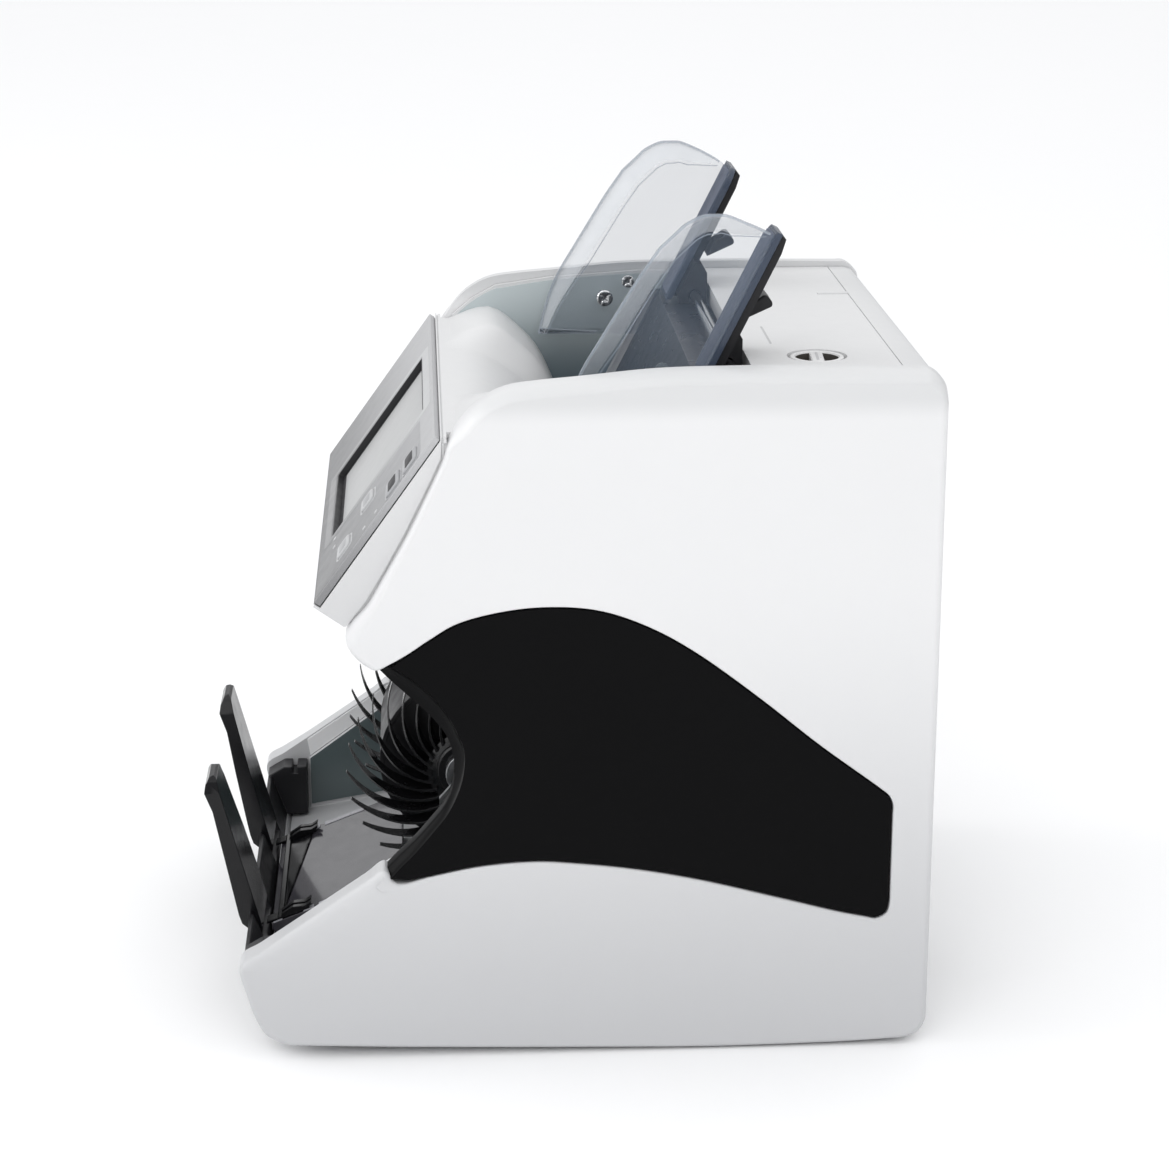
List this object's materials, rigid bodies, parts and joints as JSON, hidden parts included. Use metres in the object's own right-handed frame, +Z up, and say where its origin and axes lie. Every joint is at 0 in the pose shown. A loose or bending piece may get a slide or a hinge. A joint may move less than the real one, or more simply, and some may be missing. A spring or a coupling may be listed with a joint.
{
  "type": "banknote counting machine",
  "caption": "Desktop banknote counter: leaning hopper guides on top, sloping display head, open front stacker pocket with vane wheels, swept black side inlays.",
  "frame": {"origin": "centre of the bounding box's underside, on the surface the feet stand on", "axes": "-Y is the front with the display and the stacker pocket, +X is the machine's right-hand side seen from behind the display looking rearwards, +Z is up"},
  "size_m": [0.25, 0.2948, 0.3385],
  "materials": {
    "shell_white": "satin injection-moulded ABS, very fine texture",
    "inlay_black": "gloss black with soft reflections",
    "panel_grey": "matt grey film over plastic",
    "screen_glass": "flat display window, switched off, pale grey",
    "key_silver": "satin silver key caps",
    "knob_silver": "satin silver-grey knob",
    "black_plastic": "black, fine moulded texture",
    "stop_black": "glossy black moulding",
    "smoked_clear": "smoked clear plastic, glossy",
    "guide_clear": "smoke-blue clear plastic, polished",
    "chrome": "bright plated",
    "steel": "zinc-plated sheet and ground shafts",
    "motor_casting": "dark motor can",
    "vane_rubber": "black flexible rubber, slight sheen",
    "roller_rubber": "grey friction rubber",
    "foot_rubber": "black rubber",
    "circuit_board": "green solder mask"
  },
  "bodies": {
    "chassis": {"side_panel_right": "shell_white", "side_panel_left": "shell_white", "base_pan": "shell_white", "pocket_tray": "shell_white", "display_housing": "shell_white", "front_cover": "shell_white", "top_cover": "shell_white", "inlay_panel_right": "inlay_black", "inlay_panel_left": "inlay_black", "control_panel": "panel_grey", "hopper_back_plate": "panel_grey", "display_screen": "screen_glass", "pocket_front_trim": "black_plastic", "stacker_chute": "black_plastic", "image_sensor_upper": "black_plastic", "image_sensor_lower": "black_plastic", "power_inlet": "black_plastic", "pocket_floor": "smoked_clear", "guide_rail": "chrome", "frame_plate_right": "steel", "frame_plate_left": "steel", "tie_rod_upper": "steel", "tie_rod_lower": "steel", "power_supply": "steel", "rear_hinge_pin": "steel", "drive_motor": "motor_casting", "retard_roller": "roller_rubber", "foot_front_right": "foot_rubber", "foot_front_left": "foot_rubber", "foot_rear_right": "foot_rubber", "foot_rear_left": "foot_rubber", "drive_belt": "foot_rubber", "feed_belt": "foot_rubber", "main_board": "circuit_board"},
    "right_guide": {"side_guide_right": "guide_clear", "guide_back_plate_right": "black_plastic", "guide_grip_right": "black_plastic", "guide_screw_right": "chrome"},
    "left_guide": {"side_guide_left": "guide_clear", "guide_back_plate_left": "black_plastic", "guide_grip_left": "black_plastic", "guide_screw_left": "chrome"},
    "stacker_stop": {"stop_finger_right": "stop_black", "stop_finger_left": "stop_black", "stop_carriage": "stop_black"},
    "stacker": {"stacker_shaft": "steel", "stacker_wheel_right": "vane_rubber", "stacker_wheel_left": "vane_rubber"},
    "transport_shaft": {"transport_roller": "roller_rubber"},
    "feed_shaft": {"feed_roller": "roller_rubber"},
    "pickup_shaft": {"pickup_roller": "roller_rubber"},
    "motor_rotor": {"motor_pulley": "steel"},
    "rear_door": {"rear_cover": "shell_white"},
    "knob": {"thickness_knob": "knob_silver"},
    "start_key": {"key_start": "key_silver"},
    "mode_key": {"key_mode": "key_silver"},
    "add_key": {"key_add": "key_silver"},
    "batch_key": {"key_batch": "key_silver"},
    "switch_rocker": {"power_switch": "black_plastic"}
  },
  "joints": [
    {"name": "right_guide_slide", "type": "slide", "parent": "chassis", "child": "right_guide", "axis": [1, 0, 0], "range_m": [-0.03, 0.006]},
    {"name": "left_guide_slide", "type": "slide", "parent": "chassis", "child": "left_guide", "axis": [-1, 0, 0], "range_m": [-0.03, 0.006]},
    {"name": "stop_slide", "type": "slide", "parent": "chassis", "child": "stacker_stop", "axis": [0, 0.9317, 0.3633], "range_m": [0, 0.014]},
    {"name": "stacker_spin", "type": "hinge", "parent": "chassis", "child": "stacker", "pos_m": [0, -0.038, 0.092], "axis": [1, 0, 0], "continuous": true},
    {"name": "transport_spin", "type": "hinge", "parent": "chassis", "child": "transport_shaft", "pos_m": [0, -0.004, 0.15], "axis": [1, 0, 0], "continuous": true},
    {"name": "feed_spin", "type": "hinge", "parent": "chassis", "child": "feed_shaft", "pos_m": [0, 0.0355, 0.196], "axis": [1, 0, 0], "continuous": true},
    {"name": "pickup_spin", "type": "hinge", "parent": "chassis", "child": "pickup_shaft", "pos_m": [0, 0.0445, 0.2293], "axis": [1, 0, 0], "continuous": true},
    {"name": "motor_spin", "type": "hinge", "parent": "chassis", "child": "motor_rotor", "pos_m": [0, 0.085, 0.072], "axis": [1, 0, 0], "continuous": true},
    {"name": "rear_cover_hinge", "type": "hinge", "parent": "chassis", "child": "rear_door", "pos_m": [0, 0.1429, 0.0635], "axis": [-1, 0, 0], "range_deg": [0, 85]},
    {"name": "thickness_knob_turn", "type": "hinge", "parent": "chassis", "child": "knob", "pos_m": [0.08, 0.102, 0.2755], "axis": [0, 0, 1], "range_deg": [-150, 150]},
    {"name": "power_switch_rock", "type": "hinge", "parent": "chassis", "child": "switch_rocker", "pos_m": [0.085, 0.1395, 0.034], "axis": [-1, 0, 0], "range_deg": [0, 12]},
    {"name": "start_key_press", "type": "slide", "parent": "chassis", "child": "start_key", "axis": [0, 0.8116, -0.5842], "range_m": [0, 0.0012], "stiffness_N_per_m": 500, "springref_m": -0.001},
    {"name": "mode_key_press", "type": "slide", "parent": "chassis", "child": "mode_key", "axis": [0, 0.8116, -0.5842], "range_m": [0, 0.0012], "stiffness_N_per_m": 500, "springref_m": -0.001},
    {"name": "add_key_press", "type": "slide", "parent": "chassis", "child": "add_key", "axis": [0, 0.8116, -0.5842], "range_m": [0, 0.0012], "stiffness_N_per_m": 500, "springref_m": -0.001},
    {"name": "batch_key_press", "type": "slide", "parent": "chassis", "child": "batch_key", "axis": [0, 0.8116, -0.5842], "range_m": [0, 0.0012], "stiffness_N_per_m": 500, "springref_m": -0.001}
  ],
  "couplings": [
    {"joint": "transport_spin", "follows": "stacker_spin", "ratio": 1.2222},
    {"joint": "motor_spin", "follows": "stacker_spin", "ratio": 1.2222},
    {"joint": "feed_spin", "follows": "stacker_spin", "ratio": 1.2222},
    {"joint": "pickup_spin", "follows": "stacker_spin", "ratio": 1.7188}
  ]
}
